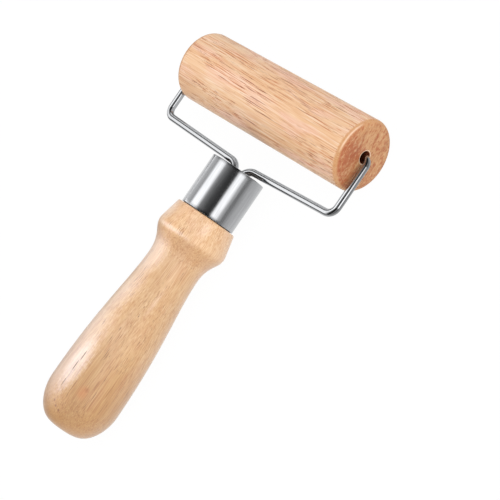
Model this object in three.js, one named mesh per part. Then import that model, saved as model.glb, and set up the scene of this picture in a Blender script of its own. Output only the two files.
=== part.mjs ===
// One-handed dough roller: a turned wooden roller that spins on a bent wire frame, whose two tails
// are held in a turned wooden handle with a metal ferrule round its tenon.
// Millimetres. X runs along the roller, +Y from the handle to the roller, +Z up from the table.
// The pieces are drawn round the roller's axis, and the last group sets them down on the table.

import * as THREE from 'three';

// Roller
const rollerLength = 110;
const rollerDiameter = 34;
const rollerRimRadius = 3.2;
const rollerBore = 6;

// Wire frame
const wireDiameter = 3.5;
const legClearance = 0.7;
const legLength = 28.7;
const crossbarFall = 2.3;
const axleBendRadius = 3.5;
const cornerBendRadius = 4.5;
const tailBendRadius = 6;
const crankBendRadius = 10;
const tailGap = 1.2;
const tailGrip = 45;

// Ferrule
const ferruleDiameter = 27.2;
const ferruleWall = 0.8;
const ferruleLength = 25.3;
const ferruleLipRadius = 0.3;
const mouthClearance = 0.9;

// Handle
const tenonRecess = 8;
const tenonChamfer = 1;
const shoulderDiameter = 30;
const flareDiameter = 34.4;
const flareLength = 9.9;
const neckDiameter = 25.9;
const neckDistance = 16.7;
const bulbDiameter = 35.4;
const swellLength = 70.5;
const buttDiameter = 12;
const domeLength = 17.9;

// How far each curve of the handle holds its first and last direction, as shares of its length,
// except on the butt's face, where it is a share of the face's distance from the widest point.
const collarShares = [0.36, 0.59];
const swellShares = [0.52, 0.22];
const domeShares = [0.52, 0.56];

// Clearance between pieces that touch on the real object
const seatGap = 0.3;

// Faces round a turned piece and round the wire, and steps along a curve or a bend
const turnedSides = 48;
const wireSides = 16;
const curveSteps = 9;
const rimSteps = 3;
const lipSteps = 1;
const bendSteps = 7;

// Radii of the sizes above
const rollerRadius = rollerDiameter / 2;
const boreRadius = rollerBore / 2;
const wireRadius = wireDiameter / 2;
const ferruleRadius = ferruleDiameter / 2;
const shoulderRadius = shoulderDiameter / 2;
const flareRadius = flareDiameter / 2;
const neckRadius = neckDiameter / 2;
const bulbRadius = bulbDiameter / 2;
const buttRadius = buttDiameter / 2;

// Places along Y, from the roller's axis back to the butt
const crossbarY = -(legLength + crossbarFall);
const mouthY = crossbarY - wireRadius - mouthClearance;
const footY = mouthY - ferruleLength;
const tenonY = mouthY - tenonRecess;
const tailEndY = tenonY - tailGrip;
const shoulderY = footY - seatGap;
const flareY = shoulderY - flareLength;
const neckY = flareY - neckDistance;
const bulbY = neckY - swellLength;
const buttY = bulbY - domeLength;

// The axle lies on the lower wall of the roller's bore, so the frame hangs this much below the
// roller's axis. The handle's axis is level with the roller's, and the tails are cranked up to it.
const frameDrop = boreRadius - wireRadius - seatGap;

// The tails stand side by side on the handle's axis.
const tailX = wireRadius + tailGap / 2;
const tailBoreRadius = tailX + wireRadius + seatGap;
const legX = rollerLength / 2 + legClearance + wireRadius;
const crankY = crossbarY - tailBendRadius - wireDiameter;

const wood = { roller: '#e2b48a', handle: '#e6b98c' };
const steel = { wire: '#c9cacc', ferrule: '#cfcfd0' };

function turnedMaterial(color) {
  return new THREE.MeshStandardMaterial({ color, roughness: 0.5, metalness: 0 });
}

function polishedMaterial(color) {
  return new THREE.MeshStandardMaterial({ color, roughness: 0.15, metalness: 1 });
}

function named(name, geometry, material) {
  const mesh = new THREE.Mesh(geometry, material);
  mesh.name = name;
  return mesh;
}

// A solid of revolution round Y from an outline of radius and height, drawn from low Y to high Y.
function turned(outline, steps) {
  return new THREE.LatheGeometry(outline.getPoints(steps), turnedSides);
}

// A centreline of straight runs joined by arcs, as a bending former leaves a wire. It has a station
// only where a run or a bend starts, turns or ends, so a straight run stays one step long.
class BentWire extends THREE.Curve {
  constructor(corners, radii, steps) {
    super();
    const last = corners.length - 1;
    const first = direction(corners[0], corners[1]);
    this.stations = [{ point: corners[0], tangent: first }];
    for (let i = 1; i < last; i += 1) {
      this.stations.push(...bend(corners[i - 1], corners[i], corners[i + 1], radii[i - 1], steps));
    }
    this.stations.push({ point: corners[last], tangent: direction(corners[last - 1], corners[last]) });
  }

  get steps() {
    return this.stations.length - 1;
  }

  getPointAt(share, target = new THREE.Vector3()) {
    return target.copy(this.stations[Math.round(share * this.steps)].point);
  }

  getTangentAt(share, target = new THREE.Vector3()) {
    return target.copy(this.stations[Math.round(share * this.steps)].tangent);
  }
}

function direction(from, to) {
  return to.clone().sub(from).normalize();
}

// The stations of an arc that turns the run before a corner into the run after it.
function bend(before, corner, after, radius, steps) {
  const into = direction(before, corner);
  const out = direction(corner, after);
  const turn = into.angleTo(out);
  const inward = out.clone().addScaledVector(into, -Math.cos(turn)).normalize();
  const centre = corner.clone()
    .addScaledVector(into, -radius * Math.tan(turn / 2))
    .addScaledVector(inward, radius);
  const stations = [];
  for (let i = 0; i <= steps; i += 1) {
    const angle = (turn * i) / steps;
    stations.push({
      point: centre.clone()
        .addScaledVector(into, radius * Math.sin(angle))
        .addScaledVector(inward, -radius * Math.cos(angle)),
      tangent: into.clone().multiplyScalar(Math.cos(angle))
        .addScaledVector(inward, Math.sin(angle)),
    });
  }
  return stations;
}

// A round cylinder with softened rims and a bore from end to end, turned along X.
function makeRoller() {
  const end = rollerLength / 2;
  const rimCentre = rollerRadius - rollerRimRadius;
  const outline = new THREE.Path();
  outline.moveTo(boreRadius, -end);
  outline.lineTo(rimCentre, -end);
  outline.absarc(rimCentre, rollerRimRadius - end, rollerRimRadius, -Math.PI / 2, 0);
  outline.absarc(rimCentre, end - rollerRimRadius, rollerRimRadius, 0, Math.PI / 2);
  outline.lineTo(boreRadius, end);
  outline.lineTo(boreRadius, -end);
  const roller = named('roller', turned(outline, rimSteps), turnedMaterial(wood.roller));
  roller.rotation.z = -Math.PI / 2;
  return roller;
}

// One wire makes the axle, both legs, both halves of the crossbar and both tails. It is bent the
// same way on both sides: along the axle, down the leg, back along the crossbar and down the tail.
function makeWireFrame() {
  const side = (x, y, z) => [new THREE.Vector3(-x, y, z), new THREE.Vector3(x, y, z)];
  const [axleLeft, axleRight] = side(legX, 0, -frameDrop);
  const [cornerLeft, cornerRight] = side(legX, -legLength, -frameDrop);
  const [topLeft, topRight] = side(tailX, crossbarY, -frameDrop);
  const [crankLeft, crankRight] = side(tailX, crankY, 0);
  const [endLeft, endRight] = side(tailX, tailEndY, 0);
  const left = [endLeft, crankLeft, topLeft, cornerLeft, axleLeft];
  const right = [axleRight, cornerRight, topRight, crankRight, endRight];
  const radii = [crankBendRadius, tailBendRadius, cornerBendRadius, axleBendRadius];
  const wire = new BentWire([...left, ...right], [...radii, ...radii.toReversed()], bendSteps);
  const section = new THREE.Shape();
  section.absarc(0, 0, wireRadius, 0, 2 * Math.PI);
  const geometry = new THREE.ExtrudeGeometry(section, {
    steps: wire.steps,
    curveSegments: wireSides / 2,
    extrudePath: wire,
  });
  return named('wire_frame', geometry, polishedMaterial(steel.wire));
}

// A plain drawn tube with both lips rounded, standing on the handle's shoulder round the tenon.
function makeFerrule() {
  const inner = ferruleRadius - ferruleWall;
  const lip = ferruleLipRadius;
  const outline = new THREE.Path();
  outline.moveTo(inner, footY + lip);
  outline.absarc(inner + lip, footY + lip, lip, -Math.PI, -Math.PI / 2);
  outline.absarc(ferruleRadius - lip, footY + lip, lip, -Math.PI / 2, 0);
  outline.absarc(ferruleRadius - lip, mouthY - lip, lip, 0, Math.PI / 2);
  outline.absarc(inner + lip, mouthY - lip, lip, Math.PI / 2, Math.PI);
  outline.lineTo(inner, footY + lip);
  return named('ferrule', turned(outline, lipSteps), polishedMaterial(steel.ferrule));
}

// A turned handle from the butt up: domed end, bulb, long swell, neck, rolled collar, straight
// flare and shoulder, then the tenon that the ferrule covers, bored blind for the wire's tails.
function makeHandle() {
  const tenonRadius = ferruleRadius - ferruleWall - seatGap;
  const slope = (flareRadius - shoulderRadius) / flareLength;
  const rolledRun = neckDistance * collarShares[0];
  const outline = new THREE.Path();
  outline.moveTo(0, buttY);
  outline.lineTo(buttRadius, buttY);
  outline.bezierCurveTo(
    buttRadius + (bulbRadius - buttRadius) * domeShares[1], buttY,
    bulbRadius, bulbY - domeLength * domeShares[0],
    bulbRadius, bulbY,
  );
  outline.bezierCurveTo(
    bulbRadius, bulbY + swellLength * swellShares[0],
    neckRadius, neckY - swellLength * swellShares[1],
    neckRadius, neckY,
  );
  outline.bezierCurveTo(
    neckRadius, neckY + neckDistance * collarShares[1],
    flareRadius + rolledRun * slope, flareY - rolledRun,
    flareRadius, flareY,
  );
  outline.lineTo(shoulderRadius, shoulderY);
  outline.lineTo(tenonRadius, shoulderY);
  outline.lineTo(tenonRadius, tenonY - tenonChamfer);
  outline.lineTo(tenonRadius - tenonChamfer, tenonY);
  outline.lineTo(tailBoreRadius, tenonY);
  outline.lineTo(tailBoreRadius, tailEndY - seatGap);
  outline.lineTo(0, tailEndY - seatGap);
  return named('handle', turned(outline, curveSteps), turnedMaterial(wood.handle));
}

// The whole tool lies on the table, with its middle over the origin.
const doughRoller = new THREE.Group();
doughRoller.add(makeRoller(), makeWireFrame(), makeFerrule(), makeHandle());
doughRoller.position.set(0, -(rollerRadius + buttY) / 2, Math.max(rollerRadius, bulbRadius));

export default doughRoller;
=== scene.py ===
# %% [markdown]
# # A one-handed dough roller
#
# Four pieces make this tool: a wooden roller, a bent wire frame that carries it, a metal ferrule and a
# turned wooden handle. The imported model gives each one's place and size. This notebook makes the same
# pieces again with fine curves, and then gives them wood and chrome.

# %% Load the frame
from math import pi, radians, tan

import bmesh
import bpy
from mathutils import Matrix, Vector
from mathutils.geometry import interpolate_bezier


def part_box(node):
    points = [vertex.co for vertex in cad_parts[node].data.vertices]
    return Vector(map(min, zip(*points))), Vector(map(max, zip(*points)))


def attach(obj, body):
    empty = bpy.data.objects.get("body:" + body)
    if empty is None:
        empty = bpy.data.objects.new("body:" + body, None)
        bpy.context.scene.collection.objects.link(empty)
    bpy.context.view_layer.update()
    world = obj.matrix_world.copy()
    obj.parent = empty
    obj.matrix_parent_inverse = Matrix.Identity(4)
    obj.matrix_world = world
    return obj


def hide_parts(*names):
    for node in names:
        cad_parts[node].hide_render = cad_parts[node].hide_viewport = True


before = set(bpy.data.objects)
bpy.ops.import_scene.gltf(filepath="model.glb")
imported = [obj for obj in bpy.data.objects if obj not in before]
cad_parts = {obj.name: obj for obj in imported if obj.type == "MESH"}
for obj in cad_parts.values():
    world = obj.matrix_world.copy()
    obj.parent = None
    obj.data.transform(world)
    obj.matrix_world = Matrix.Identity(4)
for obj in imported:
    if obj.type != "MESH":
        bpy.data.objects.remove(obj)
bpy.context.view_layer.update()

mm = 0.001
print("packed nodes:", sorted(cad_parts))

# %% [markdown]
# ## Sizes
#
# A designer measures the big sizes once and derives the rest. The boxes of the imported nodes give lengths,
# diameters and places. What a box can't show, such as a bore or a bend's radius, is written down in the
# cell that first needs it.

# %% Read the sizes from the frame
roller_low, roller_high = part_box("roller")
wire_low, wire_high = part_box("wire_frame")
ferrule_low, ferrule_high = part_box("ferrule")
handle_low, handle_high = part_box("handle")

roller_centre = (roller_low + roller_high) / 2
roller_radius = (roller_high.z - roller_low.z) / 2
roller_length = roller_high.x - roller_low.x
ferrule_radius = (ferrule_high.x - ferrule_low.x) / 2
bulb_radius = (handle_high.z - handle_low.z) / 2
axis_height = roller_centre.z
print("roller", round(roller_length / mm, 1), "by", round(2 * roller_radius / mm, 1), "mm")

# %% [markdown]
# ## The camera
#
# The photograph looks down on the tool from its right-hand end, through a long lens, and the picture is
# turned so that the roller slants. An aim point, two angles, a distance and a roll say this more plainly
# than a matrix does. The numbers come from fitting the outline of the 110 mm roller.

# %% Place the camera
camera_aim = Vector((31.4, 18.0, 17.7)) * mm
camera_distance = 714.8 * mm
camera_azimuth = -1.32
camera_elevation = 51.23
camera_roll = -54.65
camera_lens = 117.05
camera_sensor = 36
camera_reach = 20

camera = bpy.data.objects.new("camera", bpy.data.cameras.new("camera"))
bpy.context.collection.objects.link(camera)
turn = Matrix.Rotation(radians(camera_azimuth), 4, "Z") @ Matrix.Rotation(radians(-camera_elevation), 4, "Y")
toward_camera = (turn @ Vector((1, 0, 0, 0))).to_3d()
level = toward_camera.to_track_quat("Z", "Y").to_matrix().to_4x4()
camera.matrix_world = (
    Matrix.Translation(camera_aim + toward_camera * camera_distance)
    @ level
    @ Matrix.Rotation(radians(camera_roll), 4, "Z")
)
camera.data.lens = camera_lens
camera.data.sensor_width = camera_sensor
camera.data.clip_end = camera_reach
bpy.context.scene.camera = camera
print("camera at", [round(c / mm) for c in camera.matrix_world.translation], "mm")

# %% [markdown]
# ## Adding nodes
#
# A material is a small network. One function adds a node, sets its properties and fills its sockets, with
# a plain value, with another node or with one of its outputs. Colours are written as sRGB hex, the way
# a paint chart gives them, and turned to the linear values that a renderer works in.


# %% Define the node and colour helpers
def linear(hex_colour):
    """The linear red, green, blue and alpha of an sRGB hex colour."""
    channels = [int(hex_colour[i : i + 2], 16) / 255 for i in (1, 3, 5)]
    return [c / 12.92 if c <= 0.04045 else ((c + 0.055) / 1.055) ** 2.4 for c in channels] + [1]


def add(tree, kind, sockets=None, **settings):
    """Adds a node. A node given as a value feeds the socket from its first output in use."""
    node = tree.nodes.new("ShaderNode" + kind)
    for name, value in settings.items():
        setattr(node, name, value)
    for name, value in (sockets or {}).items():
        named = [socket for socket in node.inputs if socket.enabled and socket.name == name]
        socket = named[0] if named else node.inputs[name]
        if isinstance(value, bpy.types.Node):
            value = next(output for output in value.outputs if output.enabled)
        if isinstance(value, bpy.types.NodeSocket):
            tree.links.new(value, socket)
        else:
            socket.default_value = value
    return node


def new_material(name):
    """An empty material and its node tree."""
    material = bpy.data.materials.new(name)
    material.use_nodes = True
    material.node_tree.nodes.clear()
    return material, material.node_tree


print("white in linear values:", linear("#ffffff"))

# %% [markdown]
# ## Light
#
# Chrome shows nothing but its surroundings, so the light is designed first. It is drawn on the world as
# a dome, where a lamp is easier to place by what the metal mirrors. The bands on the ferrule tell where
# the lamps stood: a long strip high above the handle, a little to the left, a second one low on the right,
# and a dark room between them. An angle round the handle's axis places each: 0 is the horizon on the
# right, 90 is overhead and 180 is the horizon on the left.
#
# Pale wood wants a softer, more even room than chrome does, so a retoucher joins two exposures. The second
# list of greys is the room that lights the wood. The dome isn't sampled as a lamp, because it shows each
# kind of ray another picture and the sampler would know only one.

# %% Draw the two rooms and the long strip lights
room_stops = {
    0: 0.75, 8: 0.9, 14: 0.6, 20: 0.4, 32: 0.4, 42: 0.12, 52: 0.07, 66: 0.1, 78: 0.2, 90: 0.36, 104: 0.7,
    132: 0.5, 142: 0.6, 150: 0.75, 165: 0.9, 178: 1.3,
}
matt_stops = {0: 0.75, 20: 1.05, 35: 1.6, 50: 2.07, 70: 2.15, 90: 1.6, 110: 0.93, 130: 0.57, 178: 0.46}
strips = {
    "above": {"centre": 123, "half_width": 8, "fade": 16, "strength": 2.05},
    "low": {"centre": 28, "half_width": 8, "fade": 12, "strength": 2.2},
}


def strip_light(tree, turns, strip):
    """A strip of light with soft edges, placed by an angle that is given in half turns."""
    middle, inner = strip["centre"] / 180, strip["half_width"] / 180
    outer = inner + strip["fade"] / 180
    off = add(tree, "Math", {0: turns, 1: middle}, operation="SUBTRACT")
    off = add(tree, "Math", {0: off}, operation="ABSOLUTE")
    return add(tree, "MapRange", {
        "Value": off, "From Min": outer, "From Max": inner, "To Max": strip["strength"],
    }, interpolation_type="SMOOTHSTEP")


world = bpy.data.worlds.new("studio")
bpy.context.scene.world = world
world.use_nodes = True
world.cycles.sampling_method = "NONE"
dome = world.node_tree
dome.nodes.clear()
direction = add(dome, "SeparateXYZ", {0: add(dome, "TexCoord").outputs["Generated"]})
angle = add(dome, "Math", {0: direction.outputs["Z"], 1: direction.outputs["X"]}, operation="ARCTAN2")
handle_turns = add(dome, "Math", {0: angle, 1: pi}, operation="DIVIDE")
rooms = []
for stops in (room_stops, matt_stops):
    ramp = add(dome, "ValToRGB", {0: handle_turns})
    for place, grey in stops.items():
        ramp.color_ramp.elements.new(place / 180).color = (grey, grey, grey, 1)
    ramp.color_ramp.elements.remove(ramp.color_ramp.elements[0])
    ramp.color_ramp.elements.remove(ramp.color_ramp.elements[-1])
    rooms.append(ramp)
room, matt_room = rooms
for strip in strips.values():
    room = add(dome, "Math", {0: room, 1: strip_light(dome, handle_turns, strip)}, operation="ADD")
print("strips:", strips)

# %% [markdown]
# ### What the crossbar mirrors
#
# The crossbar lies along the roller, so it mirrors only what stands beyond the roller's far end, and an
# angle round the roller's axis says where across the bar it shows. In the photograph the near half has
# a bright line on the handle's side, a dark core, and a paler line on the roller's side, which is the
# roller itself, mirrored. A strip over the handle draws the first, and a darker room draws the core. The
# darkness spares the narrow slot of directions that the ferrule mirrors, or its bands would be lost.

# %% Add what the crossbar mirrors
slot_middle = 0.034
slot_half_width = 0.04
slot_fades_by = 0.16
share_beside_slot = 0.15
beyond_from = -0.1
beyond_to = -0.45
side_strips = {
    "over the handle": {"centre": 124, "half_width": 18, "fade": 14, "strength": 1.6},
    "over the roller": {"centre": 28, "half_width": 8, "fade": 8, "strength": 1.2},
}

sideways = add(dome, "Math", {0: direction.outputs["Y"], 1: slot_middle}, operation="SUBTRACT")
sideways = add(dome, "Math", {0: sideways}, operation="ABSOLUTE")
shade = add(dome, "MapRange", {
    "Value": sideways, "From Min": slot_half_width, "From Max": slot_fades_by,
    "To Min": 1, "To Max": share_beside_slot,
})
room = add(dome, "Math", {0: room, 1: shade}, operation="MULTIPLY")
angle = add(dome, "Math", {0: direction.outputs["Z"], 1: direction.outputs["Y"]}, operation="ARCTAN2")
roller_turns = add(dome, "Math", {0: angle, 1: pi}, operation="DIVIDE")
beyond = add(dome, "MapRange", {
    "Value": direction.outputs["X"], "From Min": beyond_from, "From Max": beyond_to,
})
for strip in side_strips.values():
    lit = add(dome, "Math", {0: strip_light(dome, roller_turns, strip), 1: beyond}, operation="MULTIPLY")
    room = add(dome, "Math", {0: room, 1: lit}, operation="ADD")
print("side strips:", side_strips)

# %% [markdown]
# ### Joining the two exposures
#
# A diffuse ray, which carries light to matt wood, sees the soft room. Every other ray sees the room with
# the strips, so chrome and lacquer mirror that one. The camera itself sees plain white paper.

# %% Close the dome
paper_white = "#fefefd"

path = add(dome, "LightPath")
light = add(dome, "Mix", {"Factor": path.outputs["Is Diffuse Ray"], "A": room, "B": matt_room})
lamps = add(dome, "Background", {"Color": (1, 1, 1, 1), "Strength": light})
paper = add(dome, "Background", {"Color": linear(paper_white), "Strength": 1.0})
shown = add(dome, "MixShader", {0: path.outputs["Is Camera Ray"], 1: lamps, 2: paper})
add(dome, "OutputWorld", {"Surface": shown})
bpy.context.scene.view_settings.view_transform = "Standard"
print("dome of", len(dome.nodes), "nodes")

# %% [markdown]
# ## The table
#
# The tool lies on a sheet of white acrylic that is lit from below, as product photographers use to get a
# clean white ground. It glows and still takes a faint shadow, which keeps the tool from floating. In the
# chrome the same sheet shows as grey, because it sends most of its light straight up. A painted
# reflection makes it paler close to the tool and brightest in a strip on the left, where nothing stands.

# %% Lay the glowing acrylic table
table_size = 6.0
table_glow = 0.97
table_grey = 0.03
# Painted reflection: the glow that the chrome mirrors is paler near the tool and brightest in a strip on the
# left.
mirrored_near = 1.0
mirrored_far = 0.36
near_reach = 15 * mm
far_reach = 110 * mm
painted_strip_edge = -20 * mm
painted_strip_middle = 32 * mm
painted_strip_half_width = 14 * mm
painted_strip_fade = 12 * mm
painted_strip_brightness = 1.15

bm = bmesh.new()
bmesh.ops.create_grid(bm, x_segments=1, y_segments=1, size=table_size / 2)
table_mesh = bpy.data.meshes.new("table")
bm.to_mesh(table_mesh)
bm.free()
table = bpy.data.objects.new("table", table_mesh)
bpy.context.collection.objects.link(table)

material, tree = new_material("white acrylic, lit from below")
glow = add(tree, "Emission", {"Color": (1, 1, 1, 1), "Strength": table_glow})
matt = add(tree, "BsdfDiffuse", {"Color": (table_grey, table_grey, table_grey, 1)})
sheet = add(tree, "AddShader", {0: glow, 1: matt})
place = add(tree, "SeparateXYZ", {0: add(tree, "TexCoord").outputs["Object"]})
reach = add(tree, "Math", {0: place.outputs["X"]}, operation="ABSOLUTE")
grey = add(tree, "MapRange", {
    "Value": reach, "From Min": near_reach, "From Max": far_reach,
    "To Min": mirrored_near, "To Max": mirrored_far,
})
# The painted bright strip on the left, which shows only in the chrome.
off_painted_strip = add(tree, "Math", {0: place.outputs["Y"], 1: painted_strip_middle}, operation="SUBTRACT")
off_painted_strip = add(tree, "Math", {0: off_painted_strip}, operation="ABSOLUTE")
on_painted_strip = add(tree, "MapRange", {
    "Value": off_painted_strip, "From Min": painted_strip_half_width + painted_strip_fade, "From Max": painted_strip_half_width,
}, interpolation_type="SMOOTHSTEP")
left = add(tree, "Math", {0: place.outputs["X"], 1: painted_strip_edge}, operation="LESS_THAN")
painted_strip = add(tree, "Math", {0: on_painted_strip, 1: left}, operation="MULTIPLY")
grey = add(tree, "Mix", {"Factor": painted_strip, "A": grey, "B": painted_strip_brightness})
mirrored = add(tree, "Emission", {"Color": (1, 1, 1, 1), "Strength": grey})
glossy_ray = add(tree, "LightPath").outputs["Is Glossy Ray"]
shown = add(tree, "MixShader", {0: glossy_ray, 1: sheet, 2: mirrored})
add(tree, "OutputMaterial", {"Surface": shown})
table.data.materials.append(material)
print("table", table_size, "m square")

# %% [markdown]
# ## Wood
#
# The roller and the handle are turned from a pale hardwood such as rubberwood. What the eye reads as wood
# is the way it was cut: vessels run along the trunk, so they show as thin dark dashes on the turned side
# and as dots on an end. Every pattern here is therefore solid, three-dimensional and stretched along the
# grain, and the lathe's surface cuts through it. Sizes are in millimetres of wood. The grain of real wood
# is never straight, so a broad noise lets it drift aside.

# %% Define coordinates that follow the grain
drift_length = 55
drift_width = 16
drift_shift = 0.4


def stretched(tree, grain, along, across, shift):
    """Grain coordinates in units of a pattern that is this long and wide in millimetres."""
    size = (1 / along, 1 / across, 1 / across)
    return add(tree, "VectorMath", {0: grain, 1: size, 2: (shift, shift, shift)}, operation="MULTIPLY_ADD")


def grain_millimetres(tree, centre, turned_by, slant, waver):
    """Object coordinates in millimetres from a centre, turned so that X follows the wavering grain."""
    turn = Matrix.Rotation(radians(turned_by + slant), 3, "Z")
    straight = add(tree, "Mapping", {
        "Vector": add(tree, "TexCoord").outputs["Object"],
        "Location": -(turn @ (centre / mm)), "Rotation": turn.to_euler(), "Scale": (1 / mm, 1 / mm, 1 / mm),
    })
    broad = stretched(tree, straight, drift_length, drift_width, drift_shift)
    drift = add(tree, "TexNoise", {"Vector": broad, "Scale": 1.0, "Detail": 1.0})
    drift = add(tree, "VectorMath", {0: drift.outputs["Color"], 1: (0.5, 0.5, 0.5)}, operation="SUBTRACT")
    return add(tree, "VectorMath", {0: drift, 1: (0, waver, waver), 2: straight}, operation="MULTIPLY_ADD")


print("the grain drifts over", drift_length, "mm")

# %% [markdown]
# A wood's look is then a short list. Clouds of colour are painted one over the other, and dashes go on
# top. A dash is a noise that is long and thin, cut off so high that only its peaks show, and a band of
# softer noise decides where the dashes gather. Two pale pieces of wood differ only in their lists.
#
# Chrome next to wood would show its orange, but a photographer keeps metal neutral. So wood that is seen
# in a mirror is a plain grey, which each list gives.

# %% Define painted wood
cloud_shift = 1.7
band_shift = 1.3
dash_shift = 2.3


def cloud(tree, grain, look, shift):
    """A mask of soft noise, as strong as its look says between two levels of the noise."""
    noise = add(tree, "TexNoise", {"Vector": stretched(tree, grain, *look["size"], shift), "Scale": 1.0})
    low, high = look["levels"]
    return add(tree, "MapRange", {
        "Value": noise, "From Min": low, "From Max": high, "To Max": look["strength"],
    }, interpolation_type="SMOOTHSTEP")


def painted_wood(tree, grain, look):
    """The colour of a wood, and how deep its dashes lie."""
    colour = linear(look["ground"])
    for number, layer in enumerate(look["clouds"], 3):
        mask = cloud(tree, grain, layer, number * cloud_shift)
        colour = add(tree, "Mix", {"Factor": mask, "A": colour, "B": linear(layer["tone"])}, data_type="RGBA")
    bands = cloud(tree, grain, look["bands"], band_shift)
    depth = 0.0
    for number, layer in enumerate(look["dashes"], 11):
        mask = cloud(tree, grain, layer, number * dash_shift)
        mask = add(tree, "Math", {0: mask, 1: bands}, operation="MULTIPLY")
        colour = add(tree, "Mix", {"Factor": mask, "A": colour, "B": linear(layer["tone"])}, data_type="RGBA")
        depth = add(tree, "Math", {0: mask, 1: depth}, operation="ADD")
    return colour, depth


def greyed(tree, colour, look):
    """The colour as it is, but the look's plain grey in what chrome mirrors of it."""
    mirrored = add(tree, "LightPath").outputs["Is Glossy Ray"]
    return add(tree, "Mix", {
        "Factor": mirrored, "A": colour, "B": linear(look["mirrored"]),
    }, data_type="RGBA")


print("wood is clouds, bands and dashes")

# %% [markdown]
# ### The roller's wood
#
# The roller is sanded and has a thin satin seal, so it is pale, dry and a little pink, with many dark
# vessels in bands. The noise that draws them is about 0.35 mm across, twice the width of a real vessel,
# because finer ones would be lost between the picture's points.

# %% List the roller's colours
roller_look = {
    "ground": "#d9b18b",
    "clouds": [
        {"tone": "#debe9e", "strength": 0.8, "size": (70, 3), "levels": (0.42, 0.62)},
        {"tone": "#e0b7a4", "strength": 0.6, "size": (26, 7), "levels": (0.46, 0.62)},
        {"tone": "#cc946b", "strength": 0.35, "size": (60, 1.6), "levels": (0.5, 0.7)},
        {"tone": "#be7e49", "strength": 0.34, "size": (24, 0.45), "levels": (0.46, 0.66)},
        {"tone": "#e7d3bc", "strength": 0.5, "size": (20, 0.5), "levels": (0.5, 0.7)},
    ],
    "bands": {"strength": 1.0, "size": (60, 5), "levels": (0.32, 0.52)},
    "dashes": [
        {"tone": "#b5622a", "strength": 0.85, "size": (30, 0.36), "levels": (0.58, 0.63)},
        {"tone": "#853c14", "strength": 0.95, "size": (17, 0.34), "levels": (0.61, 0.65)},
    ],
    "mirrored": "#f0f0f0",
}
roller_slant = 1.5
roller_waver = 2.5
print("roller wood:", len(roller_look["clouds"]), "clouds,", len(roller_look["dashes"]), "kinds of dash")

# %% [markdown]
# The end is cut across the vessels, drinks more of the seal and turns orange-brown. Three noises paint it:
# broad red blotches that lean to one side, growth rings that cross it in bands, and the specks of the
# open vessels.

# %% Define the end grain
end_tones = {"ground": "#c18c5e", "red": "#a55530", "dark": "#7f3b20", "pale": "#cfa67c"}
end_noises = {
    "blotches": {"scale": (0.02, 0.08, 0.08), "shift": 4.4, "detail": 1.0},
    "rings": {"scale": (0.02, 0.07, 0.34), "shift": 0.0, "detail": 4.0},
    "specks": {"scale": (0.1, 0.6, 1.1), "shift": 0.0, "detail": 2.0},
}
blotch_lean = (0, -0.014, 0.005)
end_layers = [
    {"noise": "blotches", "tone": "red", "strength": 0.7, "levels": (0.4, 0.64)},
    {"noise": "rings", "tone": "dark", "strength": 0.4, "levels": (0.52, 0.68)},
    {"noise": "rings", "tone": "pale", "strength": 0.4, "levels": (0.45, 0.3)},
    {"noise": "specks", "tone": "red", "strength": 0.75, "levels": (0.5, 0.64)},
    {"noise": "specks", "tone": "pale", "strength": 0.6, "levels": (0.46, 0.3)},
]


def end_grain(tree, grain):
    """The colour of the roller's end."""
    noises = {}
    for name, look in end_noises.items():
        shift = look["shift"]
        here = add(tree, "VectorMath", {
            0: grain, 1: look["scale"], 2: (shift, shift, shift),
        }, operation="MULTIPLY_ADD")
        noises[name] = add(tree, "TexNoise", {"Vector": here, "Scale": 1.0, "Detail": look["detail"]})
    lean = add(tree, "VectorMath", {0: grain, 1: blotch_lean}, operation="DOT_PRODUCT")
    noises["blotches"] = add(tree, "Math", {0: noises["blotches"], 1: lean}, operation="ADD")
    colour = linear(end_tones["ground"])
    for layer in end_layers:
        low, high = layer["levels"]
        mask = add(tree, "MapRange", {
            "Value": noises[layer["noise"]], "From Min": low, "From Max": high, "To Max": layer["strength"],
        })
        tone = linear(end_tones[layer["tone"]])
        colour = add(tree, "Mix", {"Factor": mask, "A": colour, "B": tone}, data_type="RGBA")
    return colour


print("end grain:", len(end_layers), "layers")

# %% [markdown]
# Two pale lines are painted highlights, where light catches the rounded edges: one round the bore, and one
# along the upper part of the rim. Both are rings round the roller's axis, so a distance from the axis
# draws them, and the same distance tells the bore's wall, which is painted dark as painted shade.

# %% Define the painted highlight lines and the painted shade in the bore
bore_radius = 3 * mm
# Painted highlight: the pale tone of the lines where the rounded edges catch light.
highlight_tone = "#f6dcc4"
highlight_core = 0.1
bore_highlight = {"radius": 3.3, "half_width": 0.35, "strength": 0.85}
rim_highlight = {"radius": 16.2, "half_width": 0.4, "strength": 0.6}
upward = (0, 0.19, 0.98)
upper_from = 13.8
upper_to = 15.5
# Painted shade: the dark red-brown of the bore's wall.
bore_shade_tone = "#8a4428"
wall_seen_from = 0.04
wall_seen_to = 0.01


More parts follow.
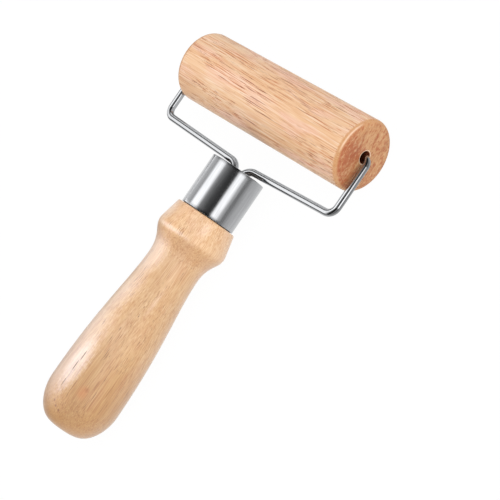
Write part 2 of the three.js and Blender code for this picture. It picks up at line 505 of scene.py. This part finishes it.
def highlit_and_shaded(tree, colour, on_end, on_rim):
    """The colour with both painted highlight lines and painted shade on the bore's wall. Distances are in
    millimetres.
    """
    here = add(tree, "TexCoord").outputs["Object"]
    off_axis = add(tree, "VectorMath", {0: here, 1: roller_centre}, operation="SUBTRACT")
    off_axis = add(tree, "VectorMath", {0: off_axis, 1: (0, 1 / mm, 1 / mm)}, operation="MULTIPLY")
    height = add(tree, "VectorMath", {0: off_axis, 1: upward}, operation="DOT_PRODUCT")
    on_top = add(tree, "MapRange", {"Value": height, "From Min": upper_from, "From Max": upper_to})
    distance = add(tree, "VectorMath", {0: off_axis}, operation="LENGTH")
    # The painted highlight rings: round the bore on the end, and along the top of the rim.
    for line, where in ((bore_highlight, on_end), (rim_highlight, on_top)):
        off_line = add(tree, "Math", {0: distance, 1: line["radius"]}, operation="SUBTRACT")
        off_line = add(tree, "Math", {0: off_line}, operation="ABSOLUTE")
        mask = add(tree, "MapRange", {
            "Value": off_line, "From Min": line["half_width"], "From Max": highlight_core,
            "To Max": line["strength"],
        })
        mask = add(tree, "Math", {0: mask, 1: where}, operation="MULTIPLY")
        mask = add(tree, "Math", {0: mask, 1: on_rim}, operation="MULTIPLY")
        colour = add(tree, "Mix", {"Factor": mask, "A": colour, "B": linear(highlight_tone)}, data_type="RGBA")
    # Painted shade on the bore's wall.
    in_bore = add(tree, "MapRange", {
        "Value": distance, "From Min": bore_radius / mm + wall_seen_from,
        "From Max": bore_radius / mm + wall_seen_to,
    })
    return add(tree, "Mix", {"Factor": in_bore, "A": colour, "B": linear(bore_shade_tone)}, data_type="RGBA")


print("bore", round(2 * bore_radius / mm, 1), "mm")

# %% [markdown]
# The rounded rim lies between side and end, in grain and in colour, so the way that the surface faces
# mixes the three. A satin seal gives the eye a soft, broad sheen and no reflections, which is
# a roughness of 0.5 without a coat. The vessels are open, and a slight bump sinks them.

# %% Mix the roller's rubberwood
rim_tone = "#b98046"
rim_strength = 0.7
rim_turns = (0.12, 0.4)
end_turns = (0.72, 0.9)
roller_vessel_depth = 0.01 * mm
bump_strength = 0.4


def roller_wood():
    material, tree = new_material("rubberwood, turned and sanded")
    grain = grain_millimetres(tree, roller_centre, 0, roller_slant, roller_waver)
    side, depth = painted_wood(tree, grain, roller_look)
    side = greyed(tree, side, roller_look)
    facing = add(tree, "SeparateXYZ", {0: add(tree, "TexCoord").outputs["Normal"]})
    endwise = add(tree, "Math", {0: facing}, operation="ABSOLUTE")
    on_rim = add(tree, "MapRange", {
        "Value": endwise, "From Min": rim_turns[0], "From Max": rim_turns[1], "To Max": rim_strength,
    })
    on_end = add(tree, "MapRange", {"Value": endwise, "From Min": end_turns[0], "From Max": end_turns[1]})
    colour = add(tree, "Mix", {"Factor": on_rim, "A": side, "B": linear(rim_tone)}, data_type="RGBA")
    colour = add(tree, "Mix", {"Factor": on_end, "A": colour, "B": end_grain(tree, grain)}, data_type="RGBA")
    # Painted highlights on the rounded edges and painted shade in the bore.
    colour = highlit_and_shaded(tree, colour, on_end, on_rim)
    bump = add(tree, "Bump", {
        "Height": depth, "Distance": -roller_vessel_depth, "Strength": bump_strength,
    })
    surface = add(tree, "BsdfPrincipled", {"Base Color": colour, "Roughness": 0.5, "Normal": bump})
    add(tree, "OutputMaterial", {"Surface": surface})
    return material


roller_material = roller_wood()
print(roller_material.name, len(roller_material.node_tree.nodes), "nodes")

# %% [markdown]
# ### The handle's wood
#
# The handle has a satin lacquer, which deepens the colour to honey and lays a soft gloss over it. Its
# vessels are finer and shorter than the roller's, and long thin lines run down the bulb. These are drawn
# 0.4 mm wide, coarser than they are, or the picture would lose them.

# %% List the handle's colours
handle_look = {
    "ground": "#d9ac7d",
    "clouds": [
        {"tone": "#e2bc90", "strength": 0.5, "size": (60, 2.5), "levels": (0.42, 0.62)},
        {"tone": "#dfb192", "strength": 0.35, "size": (22, 8), "levels": (0.5, 0.66)},
        {"tone": "#ca935c", "strength": 0.35, "size": (36, 1.0), "levels": (0.5, 0.7)},
        {"tone": "#b87238", "strength": 0.48, "size": (24, 0.4), "levels": (0.48, 0.66)},
        {"tone": "#f6dab4", "strength": 0.38, "size": (20, 0.4), "levels": (0.48, 0.66)},
    ],
    "bands": {"strength": 1.0, "size": (50, 4), "levels": (0.42, 0.58)},
    "dashes": [
        {"tone": "#a2642e", "strength": 0.6, "size": (26, 0.45), "levels": (0.59, 0.68)},
        {"tone": "#7f441a", "strength": 0.7, "size": (8, 0.45), "levels": (0.65, 0.72)},
    ],
    "mirrored": "#909090",
}
handle_slant = 1
handle_waver = 2
print("handle wood:", len(handle_look["clouds"]), "clouds,", len(handle_look["dashes"]), "kinds of dash")

# %% [markdown]
# Lacquer is honey-coloured where it is thick. A ramp along the handle multiplies the wood's colour, as
# a varnish does when the light passes it twice. The same ramp paints shade: a darker band in the cove
# under the collar, and a darkening toward the butt that is painted shade as well as tint.

# %% Define the lacquer's tint and its painted shade
tint_and_shade_from = 12 * mm
tint_and_shade_to = -96 * mm
# The cove band (0.07 to 0.105) is painted shade. The darkening toward the butt is painted shade as well as
# lacquer tint.
tint_and_shade_stops = {
    0: "#ffffff", 0.045: "#ffffff", 0.07: "#e8ddc9", 0.105: "#e8ddc9", 0.135: "#f0ece2", 0.53: "#ede8db",
    0.71: "#e1d6bd", 0.96: "#d2c19c",
}


def lacquered(tree, colour, along):
    """The colour through the lacquer, with painted shade in the cove and toward the butt, at a place along
    the handle.
    """
    toward_butt = add(tree, "MapRange", {"Value": along, "From Min": tint_and_shade_from, "From Max": tint_and_shade_to})
    tint_and_shade = add(tree, "ValToRGB", {0: toward_butt})
    for place, tone in tint_and_shade_stops.items():
        tint_and_shade.color_ramp.elements.new(place).color = linear(tone)
    tint_and_shade.color_ramp.elements.remove(tint_and_shade.color_ramp.elements[0])
    tint_and_shade.color_ramp.elements.remove(tint_and_shade.color_ramp.elements[-1])
    return add(tree, "Mix", {
        "Factor": 1.0, "A": colour, "B": tint_and_shade,
    }, data_type="RGBA", blend_type="MULTIPLY")


print("lacquer:", len(tint_and_shade_stops), "stops")

# %% [markdown]
# Pale patches are painted highlights: the lacquer's soft gloss on the bulb, swell, neck and collar, and a
# line along the rolled edge. They add their colour, so the grain still shows through them. The wood's own
# marks cover the grain instead: an orange stain, a drying crack in three parts and a few pin knots near
# the end. Each is a soft ellipsoid inside the wood, with its place and half axes in millimetres, and
# a little noise makes its edge ragged. A strength above 1 widens the full middle.

# %% List the handle's painted highlights and marks
# Painted highlight: a cool pale tone added where the lacquer's gloss shows.
gloss_highlight_tone = "#6b7681"
painted_highlights = [
    {"tone": gloss_highlight_tone, "strength": 1.3, "place": (-6, -58, 33), "size": (14, 40, 20), "soft": 0.85},
    {"tone": gloss_highlight_tone, "strength": 1.1, "place": (0.5, -67, 34), "size": (6.5, 19, 10), "soft": 0.7},
    {"tone": gloss_highlight_tone, "strength": 1.3, "place": (-4, -7, 31), "size": (11, 14, 12), "soft": 0.85},
    {"tone": gloss_highlight_tone, "strength": 0.9, "place": (-3, -25, 31), "size": (9, 16, 10), "soft": 0.85},
    {"tone": gloss_highlight_tone, "strength": 0.6, "place": (-9, 14, 31), "size": (9, 8, 12), "soft": 0.8},
    {"tone": gloss_highlight_tone, "strength": 0.9, "place": (0, 6.6, 34), "size": (15, 1.6, 9), "soft": 0.9},
    {"tone": gloss_highlight_tone, "strength": 0.6, "place": (12.4, 14, 27.8), "size": (3, 6, 4), "soft": 0.9},
    {"tone": gloss_highlight_tone, "strength": 0.6, "place": (10.8, -30, 26.3), "size": (1.3, 14, 2.2), "soft": 0.9},
]
marks = [
    {"tone": "#c67c42", "strength": 0.6, "place": (10.3, -75.5, 32.0), "size": (3.2, 5.2, 4), "soft": 0.9},
    {"tone": "#a9622f", "strength": 0.5, "place": (11.2, -73.5, 31.6), "size": (1.4, 1.6, 2), "soft": 0.8},
    {"tone": "#5e3418", "strength": 0.8, "place": (1.1, -62.0, 35.3), "size": (0.34, 3.4, 3), "soft": 0.5},
    {"tone": "#5e3418", "strength": 0.8, "place": (0.5, -67.6, 35.3), "size": (0.34, 3.2, 3), "soft": 0.5},
    {"tone": "#6b3d1e", "strength": 0.7, "place": (0.3, -76.5, 35.3), "size": (0.34, 3, 3), "soft": 0.5},
    {"tone": "#7a3f22", "strength": 0.7, "place": (2.6, -87.2, 33.3), "size": (0.6, 0.7, 1), "soft": 0.5},
    {"tone": "#7a3f22", "strength": 0.7, "place": (4.6, -88.2, 32.4), "size": (0.6, 0.9, 1), "soft": 0.5},
    {"tone": "#7d4529", "strength": 0.7, "place": (0.9, -85.4, 34.1), "size": (0.5, 0.9, 1), "soft": 0.5},
]
ragged = (0.35, 0.35, 0.35)
ragged_width = 1.2 * mm


def highlit_and_marked(tree, colour, here):
    """The colour with its painted highlights and its marks."""
    wobble = add(tree, "TexNoise", {"Vector": here, "Scale": 1 / ragged_width, "Detail": 1.0})
    wobble = add(tree, "VectorMath", {0: wobble.outputs["Color"], 1: (0.5, 0.5, 0.5)}, operation="SUBTRACT")
    for spots, blend in ((painted_highlights, "ADD"), (marks, "MIX")):
        for spot in spots:
            off = add(tree, "VectorMath", {0: here, 1: Vector(spot["place"]) * mm}, operation="SUBTRACT")
            off = add(tree, "VectorMath", {0: off, 1: Vector(spot["size"]) * mm}, operation="DIVIDE")
            off = add(tree, "VectorMath", {0: wobble, 1: ragged, 2: off}, operation="MULTIPLY_ADD")
            off = add(tree, "VectorMath", {0: off}, operation="LENGTH")
            mask = add(tree, "MapRange", {
                "Value": off, "From Min": 1.0, "From Max": 1 - spot["soft"], "To Max": spot["strength"],
            }, interpolation_type="SMOOTHSTEP")
            colour = add(tree, "Mix", {
                "Factor": mask, "A": colour, "B": linear(spot["tone"]),
            }, data_type="RGBA", blend_type=blend)
    return colour


print("handle:", len(painted_highlights), "patches and", len(marks), "marks")

# %% [markdown]
# A satin lacquer gives the eye two things: a soft gloss that lies over the colour, which is a rough coat
# with a high index, and a faint paleness toward the outline, which is a little sheen. The tenon's end is
# painted dark grey: painted shade for the inside of the ferrule's mouth.

# %% Mix the handle's lacquered wood
# Painted shade: the dark grey of the tenon's end inside the ferrule.
mouth_shade_grey = "#464647"
handle_vessel_depth = 0.04 * mm


def handle_wood():
    material, tree = new_material("rubberwood, satin lacquered")
    grain = grain_millimetres(tree, Vector((0, 0, axis_height)), -90, handle_slant, handle_waver)
    here = add(tree, "TexCoord").outputs["Object"]
    along = add(tree, "SeparateXYZ", {0: here}).outputs["Y"]
    colour, depth = painted_wood(tree, grain, handle_look)
    # Lacquer tint, with painted shade in the cove and toward the butt.
    colour = lacquered(tree, colour, along)
    colour = highlit_and_marked(tree, colour, here)
    # Painted shade on the tenon inside the ferrule's mouth.
    on_tenon = add(tree, "Math", {0: along, 1: ferrule_low.y}, operation="GREATER_THAN")
    colour = add(tree, "Mix", {"Factor": on_tenon, "A": colour, "B": linear(mouth_shade_grey)}, data_type="RGBA")
    colour = greyed(tree, colour, handle_look)
    bump = add(tree, "Bump", {
        "Height": depth, "Distance": -handle_vessel_depth, "Strength": bump_strength,
    })
    surface = add(tree, "BsdfPrincipled", {
        "Base Color": colour, "Roughness": 0.55, "Normal": bump,
        "Coat Weight": 1.0, "Coat Roughness": 0.4, "Coat IOR": 1.7,
        "Sheen Weight": 0.12, "Sheen Roughness": 0.35,
    })
    add(tree, "OutputMaterial", {"Surface": surface})
    return material


handle_material = handle_wood()
print(handle_material.name, len(handle_material.node_tree.nodes), "nodes")

# %% [markdown]
# ## Chrome
#
# Both metal pieces are steel with a bright chromium plating. The plating is almost a mirror, and what
# tells it from one is the drawn steel under it, whose faint grey streaks run along the tube. They are
# drawn 0.5 mm wide, coarser than the die's real marks, to show at all. The wire is too thin to show any.
# Fingers leave smears on both, which blur the mirror by a quarter more.

# %% Mix the plated steels
chrome_colour = "#b2b3b5"
streak_colour = "#a5a6a8"
streak_look = {"strength": 1.0, "size": (14, 0.5), "levels": (0.3, 0.7)}
streak_shift = 1.0
smear_look = {"strength": 1.0, "size": (9, 4), "levels": (0.4, 0.75)}
smear_shift = 3.0
smear_blur = 1.25
tube_roughness = 0.15
wire_roughness = 0.13


def plated_steel(name, roughness, streaks):
    """Chrome over drawn steel. The streaks' colour is None where none show."""
    material, tree = new_material(name)
    grain = grain_millimetres(tree, Vector((0, 0, axis_height)), -90, 0, 0)
    colour = linear(chrome_colour)
    if streaks:
        drawn = cloud(tree, grain, streak_look, streak_shift)
        colour = add(tree, "Mix", {"Factor": drawn, "A": colour, "B": linear(streaks)}, data_type="RGBA")
    rough = add(tree, "MapRange", {
        "Value": cloud(tree, grain, smear_look, smear_shift), "To Min": roughness,
        "To Max": roughness * smear_blur,
    })
    surface = add(tree, "BsdfPrincipled", {"Base Color": colour, "Metallic": 1.0, "Roughness": rough})
    add(tree, "OutputMaterial", {"Surface": surface})
    return material


ferrule_material = plated_steel("chrome-plated steel tube", tube_roughness, streak_colour)
wire_material = plated_steel("chrome-plated steel wire", wire_roughness, None)
print(ferrule_material.name, "and", wire_material.name)

# %% [markdown]
# ## Turning on a lathe
#
# Three of the four pieces come off a lathe, so one function plays the lathe. It takes an outline of
# radius and height, spins it into a closed solid and lays the solid along its axis. Corners are rounded
# afterwards with a bevel, the way a turner eases an edge with sandpaper.

# %% Define the lathe
turned_sides = 192
longest_face = 3 * mm
same_point = 0.001 * mm
along_x = Matrix.Rotation(pi / 2, 4, "Y")
along_y = Matrix.Rotation(-pi / 2, 4, "X")


def spun(outline, closed):
    """A solid of revolution round Z, from points of radius and height."""
    bm = bmesh.new()
    verts = [bm.verts.new((radius, 0, height)) for radius, height in outline]
    pairs = list(zip(verts, verts[1:])) + ([(verts[-1], verts[0])] if closed else [])
    edges = [bm.edges.new(pair) for pair in pairs]
    bmesh.ops.spin(
        bm, geom=verts + edges, cent=(0, 0, 0), axis=(0, 0, 1),
        angle=2 * pi, steps=turned_sides, use_merge=True,
    )
    bmesh.ops.remove_doubles(bm, verts=bm.verts[:], dist=same_point)
    return bm


def ease(bm, radius, height, round_by, segments):
    """Rounds the corner at one circle of the solid."""
    def lies_on(vert):
        return abs(vert.co.to_2d().length - radius) < same_point and abs(vert.co.z - height) < same_point

    ring = [edge for edge in bm.edges if all(lies_on(vert) for vert in edge.verts)]
    bmesh.ops.bevel(
        bm, geom=ring, offset=round_by, segments=segments, profile=0.5, affect="EDGES", material=-1,
    )


def halve_long_faces(bm):
    """Cuts long faces across until none is longer than the limit, so that shading stays true."""
    while long_edges := [edge for edge in bm.edges if edge.calc_length() > longest_face]:
        bmesh.ops.subdivide_edges(bm, edges=long_edges, cuts=1, use_grid_fill=True)


print("the lathe turns", turned_sides, "sides")

# %% [markdown]
# A finished piece keeps its place in its own mesh. It rides on a body, so that it moves with the joint,
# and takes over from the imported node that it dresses.


# %% Define how a piece is finished
def finished(name, bm, place, material, body, node):
    """Turns a bmesh into a smooth object that rides on its body and replaces its node."""
    bmesh.ops.transform(bm, matrix=place, verts=bm.verts[:])
    bmesh.ops.recalc_face_normals(bm, faces=bm.faces[:])
    mesh = bpy.data.meshes.new(name)
    bm.to_mesh(mesh)
    bm.free()
    mesh.polygons.foreach_set("use_smooth", [True] * len(mesh.polygons))
    mesh.materials.append(material)
    piece = bpy.data.objects.new(name, mesh)
    bpy.context.collection.objects.link(piece)
    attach(piece, body)
    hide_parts(node)
    print(name, len(mesh.polygons), "faces")


# %% [markdown]
# ## The roller
#
# A plain cylinder with a bore from end to end. A rounding cutter has eased its rims by 3 mm, which keeps
# them from cutting the dough, and has left a fine step where it met the flat end. The step catches
# a thin line of light. The drill leaves the bore's edge almost sharp.

# %% Turn the roller
rim_rounding = 3 * mm
rim_segments = 14
rim_step = 0.18 * mm
step_ledge = 0.02 * mm
step_rounding = 0.08 * mm
step_segments = 2
bore_rounding = 0.25 * mm
bore_segments = 3

half_length = roller_length / 2
face_radius = roller_radius - rim_rounding - step_ledge
rim_end = half_length - rim_step
bm = spun([
    (bore_radius, -half_length), (face_radius, -half_length),
    (face_radius, -rim_end), (roller_radius, -rim_end),
    (roller_radius, rim_end), (face_radius, rim_end),
    (face_radius, half_length), (bore_radius, half_length),
], closed=True)
for side in (-1, 1):
    ease(bm, roller_radius, side * rim_end, rim_rounding, rim_segments)
    ease(bm, face_radius, side * half_length, step_rounding, step_segments)
    ease(bm, bore_radius, side * half_length, bore_rounding, bore_segments)
halve_long_faces(bm)
finished("dough_roller", bm, Matrix.Translation(roller_centre) @ along_x, roller_material,
         "roller", "roller")

# %% [markdown]
# ## The handle
#
# The handle is one turning: a domed bulb that fills the palm, a long swell down to a neck for the finger
# and thumb, a rolled collar, a straight flare, and the tenon that the ferrule hides. A turner marks the
# lengths and diameters first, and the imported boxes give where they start.

# %% Measure the handle
shoulder_radius = 15 * mm
flare_radius = 17.2 * mm
flare_length = 9.9 * mm
neck_radius = 12.95 * mm
neck_distance = 16.7 * mm
butt_radius = 6 * mm
dome_length = 17.9 * mm
seat_gap = 0.3 * mm
ferrule_wall = 0.8 * mm
tail_gap = 1.2 * mm
wire_radius = 1.75 * mm

butt = handle_low.y
bulb = butt + dome_length
shoulder = ferrule_low.y - seat_gap
flare = shoulder - flare_length
neck = flare - neck_distance
swell_length = neck - bulb
tenon = handle_high.y
tenon_radius = ferrule_radius - ferrule_wall - seat_gap
tail_x = wire_radius + tail_gap / 2
tail_bore_radius = tail_x + wire_radius + seat_gap
tail_bore_end = wire_low.y - seat_gap
print("handle", round((tenon - butt) / mm, 1), "mm long, swell", round(swell_length / mm, 1), "mm")

# %% [markdown]
# Each long curve is a Bezier with a direction at both ends, which is how a turner feels it: leave this
# way, arrive that way. The shares say how far a curve holds its first and last direction. The outline runs
# from the middle of the butt up to the tenon and back down the bore for the tails, and both its ends lie
# on the axis, where the spin closes it.

# %% Turn the handle
collar_shares = [0.36, 0.59]
swell_shares = [0.52, 0.22]
dome_shares = [0.52, 0.56]
curve_points = 32
shoulder_rounding = 0.7 * mm
shoulder_segments = 5
tenon_chamfer = 1 * mm
tenon_segments = 1
mouth_rounding = 0.2 * mm
mouth_segments = 2


def curve(start, leave, arrive, end):
    """Points of radius and height on a Bezier, without its first one."""
    points = [Vector((*point, 0)) for point in (start, leave, arrive, end)]
    return [point.to_2d() for point in interpolate_bezier(*points, curve_points)][1:]


flare_slope = (flare_radius - shoulder_radius) / flare_length
rolled_run = neck_distance * collar_shares[0]
dome_curve = curve(
    (butt_radius, butt), (butt_radius + (bulb_radius - butt_radius) * dome_shares[1], butt),
    (bulb_radius, bulb - dome_length * dome_shares[0]), (bulb_radius, bulb),
)
swell_curve = curve(
    (bulb_radius, bulb), (bulb_radius, bulb + swell_length * swell_shares[0]),
    (neck_radius, neck - swell_length * swell_shares[1]), (neck_radius, neck),
)
collar_curve = curve(
    (neck_radius, neck), (neck_radius, neck + neck_distance * collar_shares[1]),
    (flare_radius + rolled_run * flare_slope, flare - rolled_run), (flare_radius, flare),
)
bm = spun([
    (0, butt), (butt_radius, butt), *dome_curve, *swell_curve, *collar_curve,
    (shoulder_radius, shoulder), (tenon_radius, shoulder), (tenon_radius, tenon), (tail_bore_radius, tenon),
    (tail_bore_radius, tail_bore_end), (0, tail_bore_end),
], closed=False)
ease(bm, shoulder_radius, shoulder, shoulder_rounding, shoulder_segments)
ease(bm, tenon_radius, tenon, tenon_chamfer, tenon_segments)
ease(bm, tail_bore_radius, tenon, mouth_rounding, mouth_segments)
halve_long_faces(bm)
finished("turned_handle", bm, Matrix.Translation((0, 0, axis_height)) @ along_y, handle_material,
         "handle_and_frame", "handle")

# %% [markdown]
# ## The ferrule
#
# A length of drawn tube keeps the tenon from splitting where the wire enters. Both lips are rounded, so
# they catch a line of light.

# %% Form the ferrule
lip_rounding = 0.3 * mm
lip_segments = 5

inner_radius = ferrule_radius - ferrule_wall
foot, mouth = ferrule_low.y, ferrule_high.y
bm = spun([
    (inner_radius, foot), (ferrule_radius, foot), (ferrule_radius, mouth), (inner_radius, mouth),
], closed=True)
for height in (foot, mouth):
    ease(bm, ferrule_radius, height, lip_rounding, lip_segments)
    ease(bm, inner_radius, height, lip_rounding, lip_segments)
halve_long_faces(bm)
finished("ferrule_tube", bm, Matrix.Translation((0, 0, axis_height)) @ along_y, ferrule_material,
         "handle_and_frame", "ferrule")

# %% [markdown]
# ## The wire frame
#
# One wire makes the axle, both legs, both halves of the crossbar and both tails. A wire bender feeds the
# wire straight, then turns it round a former, and the code does the same with a spin: a straight run is
# a spin without an angle, and a bend is a spin round the former's centre. The circle that travels is
# the wire's section.

# %% Define the wire bender
wire_sides = 32
bend_steps = 14


def travel(bm, section, **motion):
    """Sweeps the section's edges and returns the edges where it stops."""
    swept = bmesh.ops.spin(bm, geom=section, use_merge=False, **motion)
    return [item for item in swept["geom_last"] if isinstance(item, bmesh.types.BMEdge)]


def bent_wire(corners, radii):
    """A round wire that runs from corner to corner, bent by a radius at each."""
    bm = bmesh.new()
    bmesh.ops.create_circle(bm, cap_ends=True, radius=wire_radius, segments=wire_sides)
    heading = (corners[1] - corners[0]).normalized()
    aim = Vector((0, 0, 1)).rotation_difference(heading).to_matrix()
    bmesh.ops.rotate(bm, verts=bm.verts[:], cent=(0, 0, 0), matrix=aim)
    bmesh.ops.translate(bm, verts=bm.verts[:], vec=corners[0])
    section = bm.edges[:]
    here = corners[0]
    for before, corner, after, radius in zip(corners, corners[1:], corners[2:], radii):
        into = (corner - before).normalized()
        out = (after - corner).normalized()
        angle = into.angle(out)
        start = corner - into * radius * tan(angle / 2)
        section = travel(bm, section, cent=here, axis=into, dvec=start - here, angle=0, steps=1)
        axis = into.cross(out).normalized()
        centre = start + axis.cross(into) * radius
        section = travel(bm, section, cent=centre, axis=axis, angle=angle, steps=bend_steps)
        here = corner + out * radius * tan(angle / 2)
    section = travel(bm, section, cent=here, axis=out, dvec=corners[-1] - here, angle=0, steps=1)
    bmesh.ops.contextual_create(bm, geom=section)
    bmesh.ops.remove_doubles(bm, verts=bm.verts[:], dist=same_point)
    return bm


print("the bender makes", wire_sides, "sides")

# %% [markdown]
# The corners are where the straight runs would meet. They are listed for the right half, from the axle to
# the tail, and mirrored for the left half. The frame hangs a little below the handle's axis, and the last
# corner cranks the tails up to it.

# %% Bend the wire
crossbar_fall = 2.3 * mm
leg_length = 28.7 * mm
axle_bend = 3.5 * mm
corner_bend = 4.5 * mm
tail_bend = 6 * mm
crank_bend = 10 * mm

frame_height = wire_low.z + wire_radius
tail_height = wire_high.z - wire_radius
leg_x = wire_high.x - wire_radius
axle_y = roller_centre.y
corner_y = axle_y - leg_length
crossbar_y = corner_y - crossbar_fall
crank_y = crossbar_y - tail_bend - 2 * wire_radius
right = [
    Vector((leg_x, axle_y, frame_height)), Vector((leg_x, corner_y, frame_height)),
    Vector((tail_x, crossbar_y, frame_height)), Vector((tail_x, crank_y, tail_height)),
    Vector((tail_x, wire_low.y, tail_height)),
]
left = [Vector((-point.x, point.y, point.z)) for point in reversed(right)]
bends = [crank_bend, tail_bend, corner_bend, axle_bend]
bm = bent_wire(left + right, bends + bends[::-1])
finished("bent_wire", bm, Matrix.Identity(4), wire_material, "handle_and_frame", "wire_frame")
